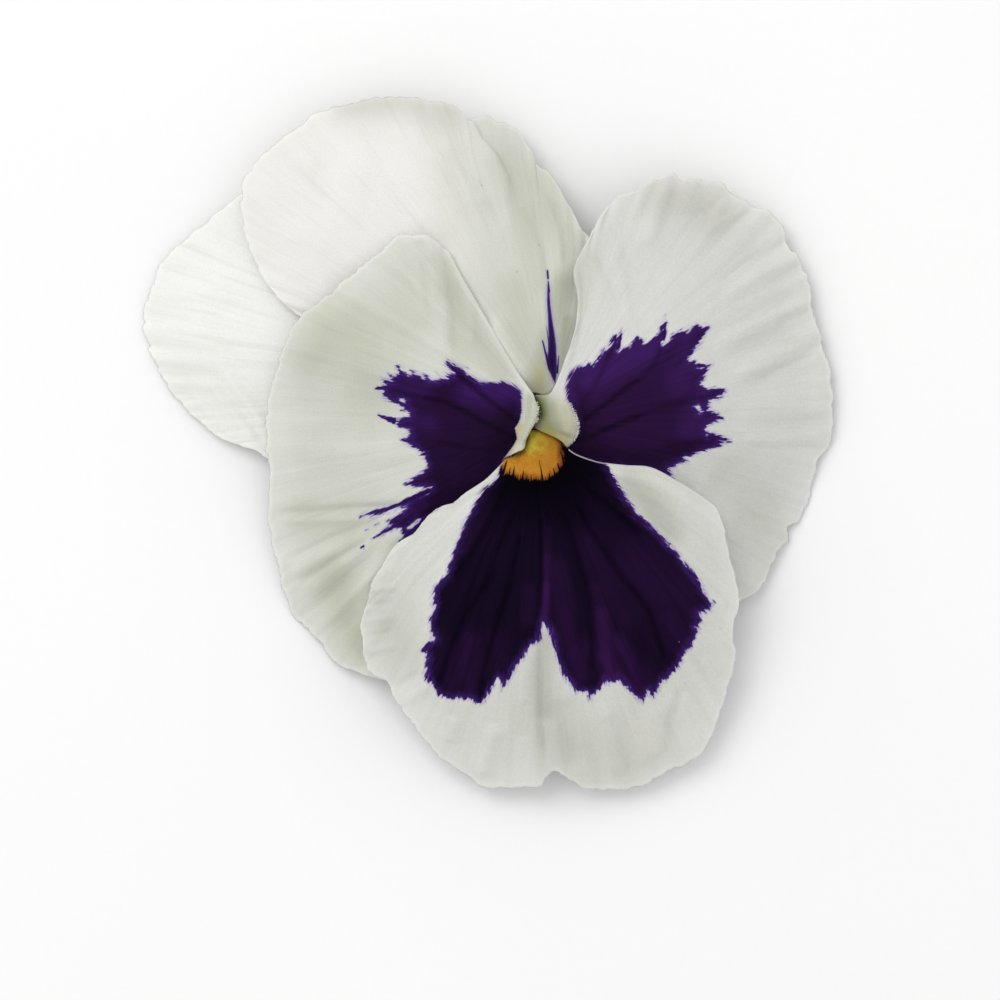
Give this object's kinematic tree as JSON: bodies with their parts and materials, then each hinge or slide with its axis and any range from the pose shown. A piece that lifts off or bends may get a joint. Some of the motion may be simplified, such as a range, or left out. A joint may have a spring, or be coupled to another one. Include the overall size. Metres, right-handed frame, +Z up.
{
  "type": "pansy flower",
  "caption": "Single picked pansy bloom lying face up: broad overlapping white petals with feathered dark blotches, a yellow throat, green sepals with auricles, a blunt spur and a short stalk.",
  "frame": {"origin": "on the surface the flower lies on, under the middle of the flower's bounding box", "axes": "+Z up, out of the flower's face; +Y towards the two upper petals, -Y towards the lower petal; +X to the viewer's right when looking down on the face"},
  "size_m": [0.0703, 0.0703, 0.0126],
  "materials": {
    "petal_lower": "matte",
    "petal_lateral": "matte",
    "petal_upper": "matte",
    "sepal": "satin",
    "stalk": "satin",
    "pistil": "satin",
    "stamen": "matte"
  },
  "bodies": {
    "root": {"petal_lower": "petal_lower", "petal_lateral_left": "petal_lateral", "petal_lateral_right": "petal_lateral", "petal_upper_left": "petal_upper", "petal_upper_right": "petal_upper", "sepal_upper": "sepal", "sepal_upper_left": "sepal", "sepal_upper_right": "sepal", "sepal_lower_left": "sepal", "sepal_lower_right": "sepal", "receptacle": "stalk", "peduncle": "stalk", "pistil": "pistil", "stamen_upper": "stamen", "stamen_upper_left": "stamen", "stamen_upper_right": "stamen", "stamen_lower_left": "stamen", "stamen_lower_right": "stamen"}
  },
  "joints": []
}
